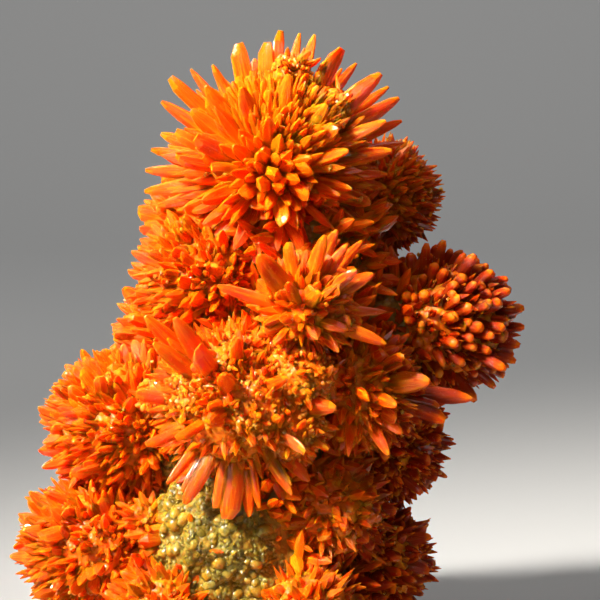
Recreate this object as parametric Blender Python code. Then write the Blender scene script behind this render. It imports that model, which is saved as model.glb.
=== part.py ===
"""Calcite cluster: balls of orange spindle crystals grown on a pale granular calcite column.

Metres, +Z up. The origin is on the flat base, under the crown. X runs to the right and Y away from the viewer.
The column is a union of lumps with a round socket for each ball of crystals, which is called a spray here.
A spray is a lumpy core with crystals radiating from its middle, its nucleus, all joined in one solid.
"""

import math
import random
from collections import namedtuple

import bmesh
import bpy
from mathutils import Matrix, Quaternion, Vector, noise

MM = 0.001

# Clear space between pieces that touch in the real cluster
GAP = 0.3

# Sizes below are in millimetres. A tip is the point (x, y, z) of one large crystal with its width at the belly.
CROWN_TIPS = [
    (-9.9, -3.0, 57.4, 1.5),
    (-8.0, -0.5, 58.0, 1.3),
    (-5.9, -3.5, 58.5, 1.2),
    (-3.8, -2.0, 60.5, 1.9),
    (-0.6, -1.5, 60.7, 1.9),
    (0.8, 1.5, 61.8, 1.2),
    (2.6, 2.0, 61.6, 1.2),
    (4.4, 1.0, 61.3, 1.4),
    (6.7, -1.5, 60.3, 2.0),
    (8.2, 1.0, 58.8, 1.2),
    (10.6, -3.5, 57.9, 2.1),
    (11.6, 0.5, 56.3, 1.2),
    (12.8, -1.0, 55.0, 1.7),
    (13.0, 0.0, 52.8, 1.3),
    (11.2, -4.5, 53.2, 1.4),
    (13.1, 1.0, 50.8, 1.2),
    (11.8, -4.0, 50.3, 1.7),
    (11.4, -3.5, 47.6, 1.2),
    (7.9, -7.5, 46.8, 1.3),
    (6.7, -6.5, 45.1, 1.3),
    (4.8, -8.0, 45.8, 1.2),
    (3.2, -7.0, 43.0, 1.2),
    (1.2, -7.5, 43.4, 1.3),
    (2.0, -9.5, 45.4, 1.2),
    (-2.0, -7.0, 42.9, 1.2),
    (-5.1, -8.5, 44.4, 1.4),
    (-5.9, -6.5, 40.9, 1.7),
    (-10.8, -2.5, 55.0, 1.5),
    (-11.0, -1.0, 51.6, 1.6),
    (-11.9, -2.0, 50.2, 1.4),
    (-12.5, -1.5, 48.1, 1.5),
    (-12.6, -1.5, 46.0, 1.6),
    (-12.7, -2.0, 43.9, 1.4),
    (-6.5, -7.0, 56.5, 1.9),
    (-3.0, -8.5, 56.5, 2.0),
    (1.5, -8.0, 57.8, 1.8),
    (5.5, -8.0, 55.0, 2.0),
    (-7.5, -8.5, 51.5, 1.8),
    (7.5, -9.0, 50.5, 1.6),
]
HEART_TIPS = [
    (-1.0, -16.5, 41.2, 2.6),
    (1.6, -13.5, 42.0, 1.5),
    (5.1, -15.0, 42.8, 1.7),
    (7.3, -12.5, 41.7, 1.4),
    (8.7, -9.5, 41.9, 1.3),
    (6.3, -9.5, 43.2, 1.6),
    (8.2, -14.5, 39.4, 1.5),
    (9.8, -13.0, 38.9, 1.8),
    (-5.1, -14.5, 37.8, 1.4),
    (1.7, -18.8, 38.7, 1.3),
    (4.5, -19.0, 37.6, 1.6),
    (6.5, -15.0, 31.6, 1.2),
    (11.1, -13.5, 32.3, 1.6),
    (11.2, -11.0, 35.0, 1.2),
    (1.0, -17.5, 34.6, 1.3),
]
BELLY_TIPS = [
    (-12.0, -15.0, 35.0, 2.0),
    (-9.3, -16.5, 34.8, 2.3),
    (-11.2, -16.0, 32.4, 2.0),
    (-7.2, -18.0, 32.0, 2.3),
    (-4.5, -19.0, 29.9, 2.3),
    (-3.3, -17.0, 33.0, 1.7),
    (-5.8, -19.2, 25.3, 2.4),
    (-8.9, -17.5, 23.4, 1.3),
    (-10.1, -14.5, 18.9, 1.3),
    (-8.3, -14.5, 16.8, 2.1),
    (-3.9, -14.0, 15.2, 2.6),
    (-1.9, -13.0, 15.3, 1.7),
    (2.0, -15.0, 17.8, 1.6),
    (2.1, -12.5, 15.3, 1.4),
    (4.9, -13.0, 17.4, 2.0),
    (5.6, -15.0, 22.3, 1.4),
    (3.2, -17.5, 22.3, 1.3),
    (6.6, -15.5, 26.4, 2.6),
    (1.5, -18.5, 29.5, 1.6),
    (-13.0, -13.0, 27.0, 1.6),
    (-11.8, -15.0, 22.3, 1.4),
]
FLANK_TIPS = [
    (15.3, -12.0, 28.4, 2.5),
    (9.2, -15.5, 27.3, 1.5),
    (12.2, -14.0, 26.4, 1.6),
    (12.6, -12.5, 23.3, 1.5),
    (19.6, -8.5, 26.2, 2.0),
    (17.0, -9.5, 24.4, 1.8),
    (11.2, -13.0, 21.2, 1.4),
    (7.6, -13.5, 21.3, 1.2),
    (12.8, -12.0, 31.0, 1.3),
]
RIGHT_TIPS = [
    (20.2, 0.0, 39.6, 1.3),
    (22.1, 0.5, 37.9, 1.2),
    (23.8, 0.0, 36.0, 1.2),
    (25.3, 1.5, 34.2, 1.2),
    (25.4, 2.0, 32.0, 1.1),
    (24.8, 0.0, 30.4, 1.1),
    (24.4, -0.5, 28.9, 1.1),
    (23.3, -3.5, 28.6, 1.2),
    (22.4, -0.5, 26.3, 1.0),
    (19.8, -4.0, 34.9, 1.3),
    (18.2, -5.5, 31.2, 1.2),
    (22.0, -3.5, 31.8, 1.1),
    (20.3, -1.0, 24.9, 1.2),
    (15.4, 1.0, 40.6, 1.1),
    (17.1, 1.5, 40.9, 1.1),
]

# nucleus: where the crystals radiate from. core: radius of the solid middle. reach: how far its small crystals come
# from the nucleus. detail: how finely its core is divided into facets. tips: its large crystals.
Spray = namedtuple("Spray", "nucleus core reach detail tips")
SPRAYS = {
    "crown_spray": Spray((0.3, -1.0, 48.3), 5.9, 11.6, 3, CROWN_TIPS),
    "shoulder_spray": Spray((-7.0, -3.0, 37.6), 4.9, 7.8, 2, []),
    "heart_spray": Spray((3.2, -11.0, 35.4), 3.6, 7.2, 2, HEART_TIPS),
    "belly_spray": Spray((-3.4, -8.6, 26.2), 6.7, 10.4, 3, BELLY_TIPS),
    "flank_spray": Spray((9.0, -6.0, 26.5), 4.7, 8.6, 2, FLANK_TIPS),
    "right_spray": Spray((17.3, 3.0, 32.2), 5.5, 8.1, 3, RIGHT_TIPS),
    "nape_spray": Spray((11.0, 7.6, 44.8), 4.4, 7.0, 2, []),
    "hip_spray": Spray((10.8, 1.0, 20.4), 4.8, 8.0, 2, []),
    "knee_spray": Spray((6.0, -6.6, 14.8), 4.4, 7.4, 2, []),
    "heel_spray": Spray((9.8, -0.6, 8.8), 4.9, 7.4, 2, []),
    "left_spray": Spray((-15.0, -2.0, 22.6), 5.8, 9.0, 2, []),
    "lower_left_spray": Spray((-17.6, -4.0, 10.4), 5.8, 8.9, 2, []),
    "left_foot_spray": Spray((-11.0, -11.2, 5.0), 4.3, 7.5, 2, []),
    "right_foot_spray": Spray((3.6, -11.4, 5.0), 4.4, 7.5, 2, []),
    "back_crown_spray": Spray((-5.6, 7.6, 42.0), 5.0, 8.5, 2, []),
    "back_upper_spray": Spray((5.0, 12.0, 34.0), 5.7, 9.2, 2, []),
    "back_left_spray": Spray((-8.6, 9.8, 29.0), 5.8, 9.4, 2, []),
    "back_right_spray": Spray((8.6, 11.2, 20.2), 5.8, 9.4, 2, []),
    "back_foot_spray": Spray((-3.0, 13.0, 11.0), 6.0, 9.5, 2, []),
    "back_left_foot_spray": Spray((-14.6, 9.0, 11.6), 5.7, 9.2, 2, []),
}

# Lumps of the pale column: middle (x, y, z) and radius. The floor plane cuts the lowest ones.
LUMPS = [
    (-4.0, 1.0, 5.0, 14.4),
    (-2.0, 0.5, 18.0, 11.0),
    (1.0, 1.0, 30.0, 9.8),
    (2.0, 1.5, 39.0, 8.0),
    (11.0, 3.0, 31.5, 5.4),
    (-5.0, -6.0, 12.0, 7.8),
]
LUMP_DETAIL = 2
# How far in a ball's points can be pushed, as a share of its radius, and how quickly that changes round the ball
BALL_LOW = 0.9
BALL_LUMPINESS = 1.7

# A large crystal starts at a share of its spray's core, widens up to its belly and narrows again to its tip
ROOT_SHARE = 0.55
FOOT_WIDTH = 0.55
BELLY_AT = 0.6
FLATNESS = 0.85
# Each is this much stouter than the real one, because it also stands for the small ones at its foot
STOUTER = 1.2
WIDE_CRYSTAL = 2.3
LEAST_CRYSTAL = 1.1
# Small crystals keep this angle (radians) from large ones, and their length varies between these shares of the reach.
# A small crystal's tip is over a point of its facet for which no corner counts less than this share.
CROWDING = 0.24
SMALLEST_REACH = 0.84
LARGEST_REACH = 1.06
LEAST_CORNER = 0.5
# How many points along a crystal's edge are tested against the column
EDGE_STEPS = 6
FLOOR_CLEARANCE = 0.35

CALCITE_ORANGE = (0.86, 0.25, 0.03, 1.0)
CRYSTAL_ROUGHNESS = 0.25
MATRIX_YELLOW = (0.62, 0.52, 0.22, 1.0)
MATRIX_ROUGHNESS = 0.5


def clear_scene():
    for obj in list(bpy.data.objects):
        bpy.data.objects.remove(obj, do_unlink=True)


def new_collection(name, parent):
    made = bpy.data.collections.new(name)
    parent.children.link(made)
    return made


def new_material(name, colour, roughness):
    made = bpy.data.materials.new(name)
    made.use_nodes = True
    shader = made.node_tree.nodes["Principled BSDF"]
    shader.inputs["Base Color"].default_value = colour
    shader.inputs["Roughness"].default_value = roughness
    shader.inputs["Metallic"].default_value = 0.0
    return made


def new_object(name, bm, collection, material=None):
    """An object from a mesh in millimetres."""
    bmesh.ops.scale(bm, verts=bm.verts, vec=(MM, MM, MM))
    mesh = bpy.data.meshes.new(name)
    bm.to_mesh(mesh)
    bm.free()
    obj = bpy.data.objects.new(name, mesh)
    collection.objects.link(obj)
    if material:
        mesh.materials.append(material)
    return obj


def new_helper(name, bm, collection):
    """An object that only joins or cuts others."""
    obj = new_object(name, bm, collection)
    obj.hide_render = True
    obj.display_type = "WIRE"


def join_all(obj, operation, group):
    """Join or cut an object with all that a collection holds."""
    step = obj.modifiers.new(operation.lower(), "BOOLEAN")
    step.operation = operation
    step.operand_type = "COLLECTION"
    step.collection = group


def ball(middle, radius, detail, room=0.0):
    """A ball of flat facets whose points are pushed in here and there, never out, with room added all round."""
    dice = random.Random(repr(middle))
    turn = Quaternion([dice.gauss(0, 1) for _ in range(4)]).normalized()
    bm = bmesh.new()
    bmesh.ops.create_icosphere(bm, subdivisions=detail, radius=1.0, matrix=turn.to_matrix().to_4x4())
    for vert in bm.verts:
        share = 0.5 + 0.5 * noise.noise(vert.co * BALL_LUMPINESS + Vector(middle))
        vert.co *= radius * (BALL_LOW + (1 - BALL_LOW) * share) + room
    bmesh.ops.translate(bm, verts=bm.verts, vec=middle)
    return bm


def cut_flat(bm, point, normal):
    """Cut off what lies beyond a plane and close the cut."""
    everything = list(bm.verts) + list(bm.edges) + list(bm.faces)
    cut = bmesh.ops.bisect_plane(bm, geom=everything, plane_co=point, plane_no=normal, clear_outer=True)
    rim = [item for item in cut["geom_cut"] if isinstance(item, bmesh.types.BMEdge)]
    bmesh.ops.holes_fill(bm, edges=rim)


def neighbour_planes(name):
    """Planes through the rings where the reach of this spray meets that of each other one, and one over the floor.

    Each is (direction, distance from this nucleus). Nothing of the spray crosses them.
    """
    spray = SPRAYS[name]
    nucleus = Vector(spray.nucleus)
    planes = [(Vector((0, 0, -1)), nucleus.z - FLOOR_CLEARANCE)]
    for other_name, other in SPRAYS.items():
        if other_name != name:
            towards = Vector(other.nucleus) - nucleus
            apart = towards.length
            at = (apart**2 + spray.reach**2 - other.reach**2) / (2 * apart)
            planes.append((towards / apart, at - GAP / 2))
    return planes


def clears_column(start, end, margin):
    """Whether a straight line keeps off every lump of the column by a margin."""
    for step in range(EDGE_STEPS + 1):
        point = start.lerp(end, step / EDGE_STEPS)
        for x, y, z, radius in LUMPS:
            if (point - Vector((x, y, z))).length < radius + margin:
                return False
    return True


def length_allowed(direction, length, width, planes):
    """The longest that a crystal can be with its tip and its belly on this side of every plane."""
    for normal, at in planes:
        along = direction.dot(normal)
        across = width / 2 * math.sqrt(max(0.0, 1 - along**2))
        if along > 0:
            length = min(length, at / along, (at - across) / (along * BELLY_AT))
        elif across > at:
            return 0.0
    return length


def large_crystals(spray, planes):
    """(direction, length, width) of each large crystal of a spray."""
    nucleus = Vector(spray.nucleus)
    found = []
    for x, y, z, width in spray.tips:
        arrow = Vector((x, y, z)) - nucleus
        direction = arrow.normalized()
        length = length_allowed(direction, arrow.length, width * STOUTER, planes)
        leaves_socket = nucleus + direction * (spray.core + GAP)
        tip = nucleus + direction * length
        is_clear = clears_column(leaves_socket, tip, width * STOUTER / 2 + GAP)
        if length > spray.core + LEAST_CRYSTAL and is_clear:
            found.append((direction, length, width * STOUTER))
    return found


def spindle(nucleus, direction, root, length, width, twist):
    """A large crystal: five or four long faces, widest at its belly."""
    bm = bmesh.new()
    sides = 5 if width > WIDE_CRYSTAL else 4
    bmesh.ops.create_cone(bm, cap_ends=True, segments=sides, radius1=FOOT_WIDTH, radius2=1.0, depth=BELLY_AT)
    bmesh.ops.translate(bm, verts=bm.verts, vec=(0, 0, BELLY_AT / 2))
    belly = [face for face in bm.faces if face.normal.z > 0.9]
    bmesh.ops.poke(bm, faces=belly, offset=1 - BELLY_AT)
    size = Matrix.Diagonal((width / 2, width / 2 * FLATNESS, length - root, 1))
    turned = direction.to_track_quat("Z", "Y").to_matrix().to_4x4() @ Matrix.Rotation(twist, 4, "Z")
    bm.transform(Matrix.Translation(nucleus + direction * root) @ turned @ size)
    return bm


def raise_small_crystals(bm, spray, planes, large, dice):
    """Raise a three-sided crystal from each facet of the core that has room for one."""
    nucleus = Vector(spray.nucleus)
    for face in list(bm.faces):
        corners = [vert.co.copy() for vert in face.verts]
        shares = [dice.uniform(LEAST_CORNER, 1.0) for _ in corners]
        over = sum((corner * share for corner, share in zip(corners, shares)), Vector()) / sum(shares)
        direction = (over - nucleus).normalized()
        length = spray.reach * dice.uniform(SMALLEST_REACH, LARGEST_REACH)
        length = length_allowed(direction, length, 0.0, planes)
        tip = nucleus + direction * length
        is_inside = all((corner - nucleus).dot(normal) < at for corner in corners for normal, at in planes)
        is_clear = all(clears_column(corner, tip, GAP) for corner in corners)
        is_free = all(direction.angle(other[0]) > CROWDING for other in large)
        if is_inside and is_clear and is_free and length > spray.core + LEAST_CRYSTAL:
            raised = bmesh.ops.poke(bm, faces=[face])
            raised["verts"][0].co = tip


def grow_spray(name, parts, helpers, material):
    """A lumpy ball with small crystals raised from it, large ones joined to it, cut flat where its neighbours are."""
    spray = SPRAYS[name]
    planes = neighbour_planes(name)
    dice = random.Random(name)
    large = large_crystals(spray, planes)
    bm = ball(spray.nucleus, spray.core, spray.detail)
    raise_small_crystals(bm, spray, planes, large, dice)
    nucleus = Vector(spray.nucleus)
    for normal, at in planes:
        if at < spray.core:
            cut_flat(bm, nucleus + normal * at, normal)
    core = new_object(name, bm, parts, material)
    if large:
        group = new_collection(name + "_large_crystals", helpers)
        root = spray.core * ROOT_SHARE
        for number, (direction, length, width) in enumerate(large):
            crystal = spindle(nucleus, direction, root, length, width, dice.uniform(0, 2 * math.pi))
            new_helper(f"{name}_crystal_{number}", crystal, group)
        join_all(core, "UNION", group)


def grow_column(parts, helpers, material):
    """The pale column: lumps joined in one, with a socket for each spray, cut flat on the floor plane."""
    lumps = new_collection("column_lumps", helpers)
    sockets = new_collection("column_sockets", helpers)
    for number, (x, y, z, radius) in enumerate(LUMPS[1:]):
        new_helper(f"lump_{number}", ball((x, y, z), radius, LUMP_DETAIL), lumps)
    for name, spray in SPRAYS.items():
        socket = ball(spray.nucleus, spray.core, spray.detail, room=GAP)
        new_helper(name + "_socket", socket, sockets)

    x, y, z, radius = LUMPS[0]
    base = ball((x, y, z), radius, LUMP_DETAIL)
    cut_flat(base, Vector((x, y, 0)), Vector((0, 0, -1)))
    column = new_object("pale_matrix", base, parts, material)
    join_all(column, "UNION", lumps)
    join_all(column, "DIFFERENCE", sockets)


def main():
    clear_scene()
    parts = new_collection("calcite_cluster", bpy.context.scene.collection)
    helpers = new_collection("helpers", bpy.context.scene.collection)
    orange = new_material("orange_calcite", CALCITE_ORANGE, CRYSTAL_ROUGHNESS)
    yellow = new_material("pale_calcite", MATRIX_YELLOW, MATRIX_ROUGHNESS)
    grow_column(parts, helpers, yellow)
    for name in SPRAYS:
        grow_spray(name, parts, helpers, orange)


main()
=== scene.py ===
"""Looks of the calcite cluster: balls of orange crystals grown round a pale sugary column.

Sizes and places are in millimetres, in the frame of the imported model, until a mesh is made in metres.
"""

import math
import random
from collections import namedtuple

import bmesh
import bpy
import numpy as np
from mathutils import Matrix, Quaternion, Vector, noise


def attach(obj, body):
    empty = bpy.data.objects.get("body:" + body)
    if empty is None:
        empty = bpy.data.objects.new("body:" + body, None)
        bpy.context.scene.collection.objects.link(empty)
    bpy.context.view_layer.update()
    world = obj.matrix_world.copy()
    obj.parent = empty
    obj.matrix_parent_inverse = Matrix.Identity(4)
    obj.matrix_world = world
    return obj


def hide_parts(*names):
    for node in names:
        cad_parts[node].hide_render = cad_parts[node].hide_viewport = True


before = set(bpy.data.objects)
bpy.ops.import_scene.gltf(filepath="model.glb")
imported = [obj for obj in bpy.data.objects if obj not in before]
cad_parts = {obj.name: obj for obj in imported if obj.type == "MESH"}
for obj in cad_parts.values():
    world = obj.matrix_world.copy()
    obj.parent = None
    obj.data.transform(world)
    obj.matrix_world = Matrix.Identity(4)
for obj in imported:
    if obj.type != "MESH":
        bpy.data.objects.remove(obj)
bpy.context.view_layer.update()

MM = 0.001

# A tip is the point (x, y, z) of one large crystal, with its greatest width, or on the crown its width
# near there
CROWN_TIPS = [
    (-9.9, -3.0, 57.4, 1.5),
    (-8.0, -0.5, 58.0, 1.3),
    (-5.9, -3.5, 58.5, 1.2),
    (-3.8, -2.0, 60.5, 1.9),
    (-0.6, -1.5, 60.7, 1.9),
    (0.8, 1.5, 61.8, 1.2),
    (2.6, 2.0, 61.6, 1.2),
    (4.4, 1.0, 61.3, 1.4),
    (6.7, -1.5, 60.3, 2.0),
    (8.2, 1.0, 58.8, 1.2),
    (10.6, -3.5, 57.9, 2.1),
    (11.6, 0.5, 56.3, 1.2),
    (12.8, -1.0, 55.0, 1.7),
    (13.0, 0.0, 52.8, 1.3),
    (11.2, -4.5, 53.2, 1.4),
    (13.1, 1.0, 50.8, 1.2),
    (11.8, -4.0, 50.3, 1.7),
    (11.4, -3.5, 47.6, 1.2),
    (7.9, -7.5, 46.8, 1.3),
    (6.7, -6.5, 45.1, 1.3),
    (4.8, -8.0, 45.8, 1.2),
    (3.2, -7.0, 43.0, 1.2),
    (1.2, -7.5, 43.4, 1.3),
    (2.0, -9.5, 45.4, 1.2),
    (-2.0, -7.0, 42.9, 1.2),
    (-5.1, -8.5, 44.4, 1.4),
    (-5.9, -6.5, 40.9, 1.7),
    (-10.8, -2.5, 55.0, 1.5),
    (-11.0, -1.0, 51.6, 1.6),
    (-11.9, -2.0, 50.2, 1.4),
    (-12.5, -1.5, 48.1, 1.5),
    (-12.6, -1.5, 46.0, 1.6),
    (-12.7, -2.0, 43.9, 1.4),
    (-6.5, -7.0, 56.5, 1.9),
    (-3.0, -8.5, 56.5, 2.0),
    (1.5, -8.0, 57.8, 1.8),
    (5.5, -8.0, 55.0, 2.0),
    (-7.5, -8.5, 51.5, 1.8),
    (7.5, -9.0, 50.5, 1.6),
]
HEART_TIPS = [
    (-1.0, -16.5, 41.2, 2.6),
    (1.6, -13.5, 42.0, 1.5),
    (5.1, -15.0, 42.8, 1.7),
    (7.3, -12.5, 41.7, 1.4),
    (8.7, -9.5, 41.9, 1.3),
    (6.3, -9.5, 43.2, 1.6),
    (8.2, -14.5, 39.4, 1.5),
    (9.8, -13.0, 38.9, 1.8),
    (-5.1, -14.5, 37.8, 1.4),
    (1.7, -18.8, 38.7, 1.3),
    (4.5, -19.0, 37.6, 1.6),
    (6.5, -15.0, 31.6, 1.2),
    (11.1, -13.5, 32.3, 1.6),
    (11.2, -11.0, 35.0, 1.2),
    (1.0, -17.5, 34.6, 1.3),
]
BELLY_TIPS = [
    (-12.0, -15.0, 35.0, 2.0),
    (-9.3, -16.5, 34.8, 2.3),
    (-11.2, -16.0, 32.4, 2.0),
    (-7.2, -18.0, 32.0, 2.3),
    (-4.5, -19.0, 29.9, 2.3),
    (-3.3, -17.0, 33.0, 1.7),
    (-5.8, -19.2, 25.3, 2.4),
    (-8.9, -17.5, 23.4, 1.3),
    (-10.1, -14.5, 18.9, 1.3),
    (-8.3, -14.5, 16.8, 2.1),
    (-3.9, -14.0, 15.2, 2.6),
    (-1.9, -13.0, 15.3, 1.7),
    (2.0, -15.0, 17.8, 1.6),
    (2.1, -12.5, 15.3, 1.4),
    (4.9, -13.0, 17.4, 2.0),
    (5.6, -15.0, 22.3, 1.4),
    (3.2, -17.5, 22.3, 1.3),
    (6.6, -15.5, 26.4, 2.6),
    (1.5, -18.5, 29.5, 1.6),
    (-13.0, -13.0, 27.0, 1.6),
    (-11.8, -15.0, 22.3, 1.4),
]
FLANK_TIPS = [
    (15.3, -12.0, 28.4, 2.5),
    (9.2, -15.5, 27.3, 1.5),
    (12.2, -14.0, 26.4, 1.6),
    (12.6, -12.5, 23.3, 1.5),
    (19.6, -8.5, 26.2, 2.0),
    (17.0, -9.5, 24.4, 1.8),
    (11.2, -13.0, 21.2, 1.4),
    (7.6, -13.5, 21.3, 1.2),
    (12.8, -12.0, 31.0, 1.3),
]
RIGHT_TIPS = [
    (20.2, 0.0, 39.6, 1.3),
    (22.1, 0.5, 37.9, 1.2),
    (23.8, 0.0, 36.0, 1.2),
    (25.3, 1.5, 34.2, 1.2),
    (25.4, 2.0, 32.0, 1.1),
    (24.8, 0.0, 30.4, 1.1),
    (24.4, -0.5, 28.9, 1.1),
    (23.3, -3.5, 28.6, 1.2),
    (22.4, -0.5, 26.3, 1.0),
    (19.8, -4.0, 34.9, 1.3),
    (18.2, -5.5, 31.2, 1.2),
    (22.0, -3.5, 31.8, 1.1),
    (20.3, -1.0, 24.9, 1.2),
    (15.4, 1.0, 40.6, 1.1),
    (17.1, 1.5, 40.9, 1.1),
]

# How the crystals of a ball look. spacing: how far apart the tips of its main crystals are. width: their
# least and greatest width. share: how far they come, from least to most, as shares of the ball's reach.
# forms: their shapes. flatness: depth over width. red: how strongly their middles turn red. shake: how
# untidily they stand. under: width and share again, for the smaller crystals between their feet.
Habit = namedtuple("Habit", "spacing width share forms flatness red shake under")
UNDER = ((0.7, 1.3), (0.64, 0.86))
PETALS = Habit(2.2, (1.2, 2.2), (0.78, 1.0), ("tongue", "tongue", "spear", "chisel"), 0.55, 1.0, 0.11,
               ((0.8, 1.5), (0.70, 0.92)))
SPARSE = Habit(2.5, (1.1, 2.0), (0.62, 0.86), ("tongue", "spear", "chisel"), 0.6, 1.0, 0.11,
               ((0.7, 1.3), (0.58, 0.78)))
CRUMBLY = Habit(1.9, (0.8, 1.6), (0.62, 0.82), ("spear", "tooth", "chisel", "tongue"), 0.6, 0.8, 0.32,
                ((0.6, 1.1), (0.60, 0.74)))
SPEARS = Habit(1.7, (0.8, 1.8), (0.70, 1.0), ("spear", "tongue", "chisel"), 0.55, 0.7, 0.25, UNDER)
RODS = Habit(1.9, (1.0, 1.4), (0.84, 1.0), ("rod", "rod", "rod", "chisel"), 0.88, 0.5, 0.08,
             ((0.6, 1.0), (0.56, 0.74)))
BRISTLES = Habit(1.35, (0.5, 1.0), (0.78, 1.0), ("needle", "tooth", "spear"), 0.8, 0.3, 0.22, UNDER)

# nucleus: the middle of a ball. core: radius of its solid middle. reach: how far its crystals come.
# sweep: which way they all lean, so that they seem to come from a point as far off its middle the other
# way, in shares of how far off it their feet are.
Spray = namedtuple("Spray", "nucleus core reach sweep habit tips")
SPRAYS = {
    "crown": Spray((0.3, -1.0, 48.3), 5.9, 11.6, (0.05, 0.5, 0.1), PETALS, CROWN_TIPS),
    "shoulder": Spray((-7.0, -3.0, 37.6), 4.9, 7.8, (-0.6, 0.1, 0.1), SPEARS, []),
    "heart": Spray((3.2, -11.0, 35.4), 3.6, 7.2, (0.1, 0.4, 0.1), SPARSE, HEART_TIPS),
    "belly": Spray((-3.4, -8.6, 26.2), 6.7, 10.4, (0.0, 0.35, 0.0), CRUMBLY, BELLY_TIPS),
    "flank": Spray((9.0, -6.0, 26.5), 4.7, 8.6, (0.35, 0.15, -0.15), SPARSE, FLANK_TIPS),
    "right": Spray((17.3, 3.0, 32.2), 5.5, 8.1, (0.55, 0.2, 0.05), RODS, RIGHT_TIPS),
    "nape": Spray((11.0, 7.6, 44.8), 4.4, 7.0, (0.3, 0.1, 0.1), BRISTLES, []),
    "hip": Spray((10.8, 1.0, 20.4), 4.8, 8.0, (0.4, 0.1, -0.15), SPEARS, []),
    "knee": Spray((6.0, -6.6, 14.8), 4.4, 7.4, (0.2, 0.15, -0.2), SPARSE, []),
    "heel": Spray((9.8, -0.6, 8.8), 4.9, 7.4, (0.4, 0.1, -0.1), SPEARS, []),
    "left": Spray((-15.0, -2.0, 22.6), 5.8, 9.0, (-0.55, 0.1, 0.1), SPEARS, []),
    "lower_left": Spray((-17.6, -4.0, 10.4), 5.8, 8.9, (-0.45, 0.1, -0.1), SPEARS, []),
    "left_foot": Spray((-11.0, -11.2, 5.0), 4.3, 7.5, (-0.3, 0.1, -0.1), CRUMBLY, []),
    "right_foot": Spray((3.6, -11.4, 5.0), 4.4, 7.5, (0.1, 0.2, -0.1), SPARSE, []),
    "back_crown": Spray((-5.6, 7.6, 42.0), 5.0, 8.5, (-0.3, 0.2, 0.3), PETALS, []),
    "back_upper": Spray((5.0, 12.0, 34.0), 5.7, 9.2, (0.0, -0.35, 0.1), SPEARS, []),
    "back_left": Spray((-8.6, 9.8, 29.0), 5.8, 9.4, (-0.35, 0.15, 0.0), PETALS, []),
    "back_right": Spray((8.6, 11.2, 20.2), 5.8, 9.4, (0.3, -0.2, 0.0), RODS, []),
    "back_foot": Spray((-3.0, 13.0, 11.0), 6.0, 9.5, (0.0, -0.35, 0.0), PETALS, []),
    "back_left_foot": Spray((-14.6, 9.0, 11.6), 5.7, 9.2, (-0.35, 0.2, -0.1), SPEARS, []),
}

# Lumps of the pale column: middle (x, y, z) and radius. The floor plane cuts the lowest ones.
LUMPS = [
    (-4.0, 1.0, 5.0, 14.4),
    (-2.0, 0.5, 18.0, 11.0),
    (1.0, 1.0, 30.0, 9.8),
    (2.0, 1.5, 39.0, 8.0),
    (11.0, 3.0, 31.5, 5.4),
    (-5.0, -6.0, 12.0, 7.8),
]

# Where pale sugary grains show instead of orange crystals: middle (x, y, z) and radius
PALE_PATCHES = [
    (-5.5, -13.0, 11.5, 6.2),
    (-8.0, -12.0, 17.5, 4.5),
    (-12.5, -8.0, 19.0, 4.2),
    (-1.0, -11.0, 7.0, 4.5),
]
# Sugary lumps on the balls themselves, between their large crystals: middle (x, y, z) and radius
SUGARY_LUMPS = {
    "belly": [
        (2.6, -12.0, 28.6, 3.5),
        (-1.6, -12.9, 26.2, 3.9),
        (2.0, -12.2, 24.2, 3.3),
        (-6.9, -11.4, 26.6, 3.4),
        (-4.0, -12.0, 29.4, 3.5),
    ],
    "crown": [(1.9, -2.2, 57.6, 1.9), (6.6, -3.4, 54.6, 1.4)],
    "left": [(-11.5, -7.6, 26.2, 1.7)],
    "lower_left": [(-12.6, -8.4, 14.2, 1.6)],
}

# Where the crystals of a ball are grown together in a fan: the way from its middle, how wide the fan is
# (radians), how many crystals it has, how far they come and how wide they are
Fan = namedtuple("Fan", "way spread count shares widths")
FANS = {
    "crown": [
        Fan((0.12, -0.64, 0.76), 0.62, 430, (0.80, 0.92), (0.6, 1.15)),
        Fan((0.04, -0.99, -0.12), 0.36, 30, (0.72, 0.90), (1.3, 2.1)),
    ],
    "belly": [Fan((-0.42, -0.76, 0.50), 0.60, 260, (0.68, 0.82), (0.7, 1.3))],
}

# The way to the camera from the cluster
VIEW_FROM = Vector((0, -1, 0))
# No bend at all
STRAIGHT = Vector((0, 0, 0))
# How far the crystals' tips keep off the floor, and how high up the column its grains start
FLOOR_CLEARANCE = 0.5
# The turn from one place to the next when places are spread evenly on a spiral
GOLDEN_TURN = math.pi * (3 - math.sqrt(5))

# Where a crystal's root is, as a share of its ball's core: a large one's, and a small one's
ROOT_SHARE = 0.5
FOOT_SHARE = 0.8
# How far a crystal has to come out of its core, or it is left out: a large one, a small one and a tooth
LARGE_SHOWING = 1.0
SMALL_SHOWING = 0.8
TOOTH_SHOWING = 0.3
# How far a tip may pass the plane between two balls: a large crystal's, a small one's, a fan's and a
# tooth's
LARGE_OVER = 0.4
SMALL_OVER = (-0.4, 0.9)
FAN_OVER = 0.3
TOOTH_OVER = 0.3

# The forms of large crystals and of slim ones, and how wide a slim one may be
LARGE_FORMS = ("large_tongue", "large_tongue", "large_tongue", "large_chisel")
SLIM_FORMS = ("large_spear", "large_tongue")
SLIM_WIDTH = 1.25
# Which share of the large crystals that aren't slim has a twin, how far (radians) it turns away, how far
# it is shifted across, in widths, its length, width and depth as shares of the first one's, and its redness
TWIN_SHARE = 0.45
TWIN_TURN = (0.07, 0.15)
TWIN_SHIFT = 0.2
TWIN_LENGTH = (0.78, 0.93)
TWIN_WIDTH = 0.72
TWIN_DEPTH = 0.8
TWIN_RED = 0.8
# How much wider a large petal is at its widest than near its tip, which is the width in the table
LARGE_SWELL = 1.18
# How near (radians) the main crystals, and those under them, come to a large one
MAIN_CROWDING = 0.15
UNDER_CROWDING = 0.07
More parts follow.
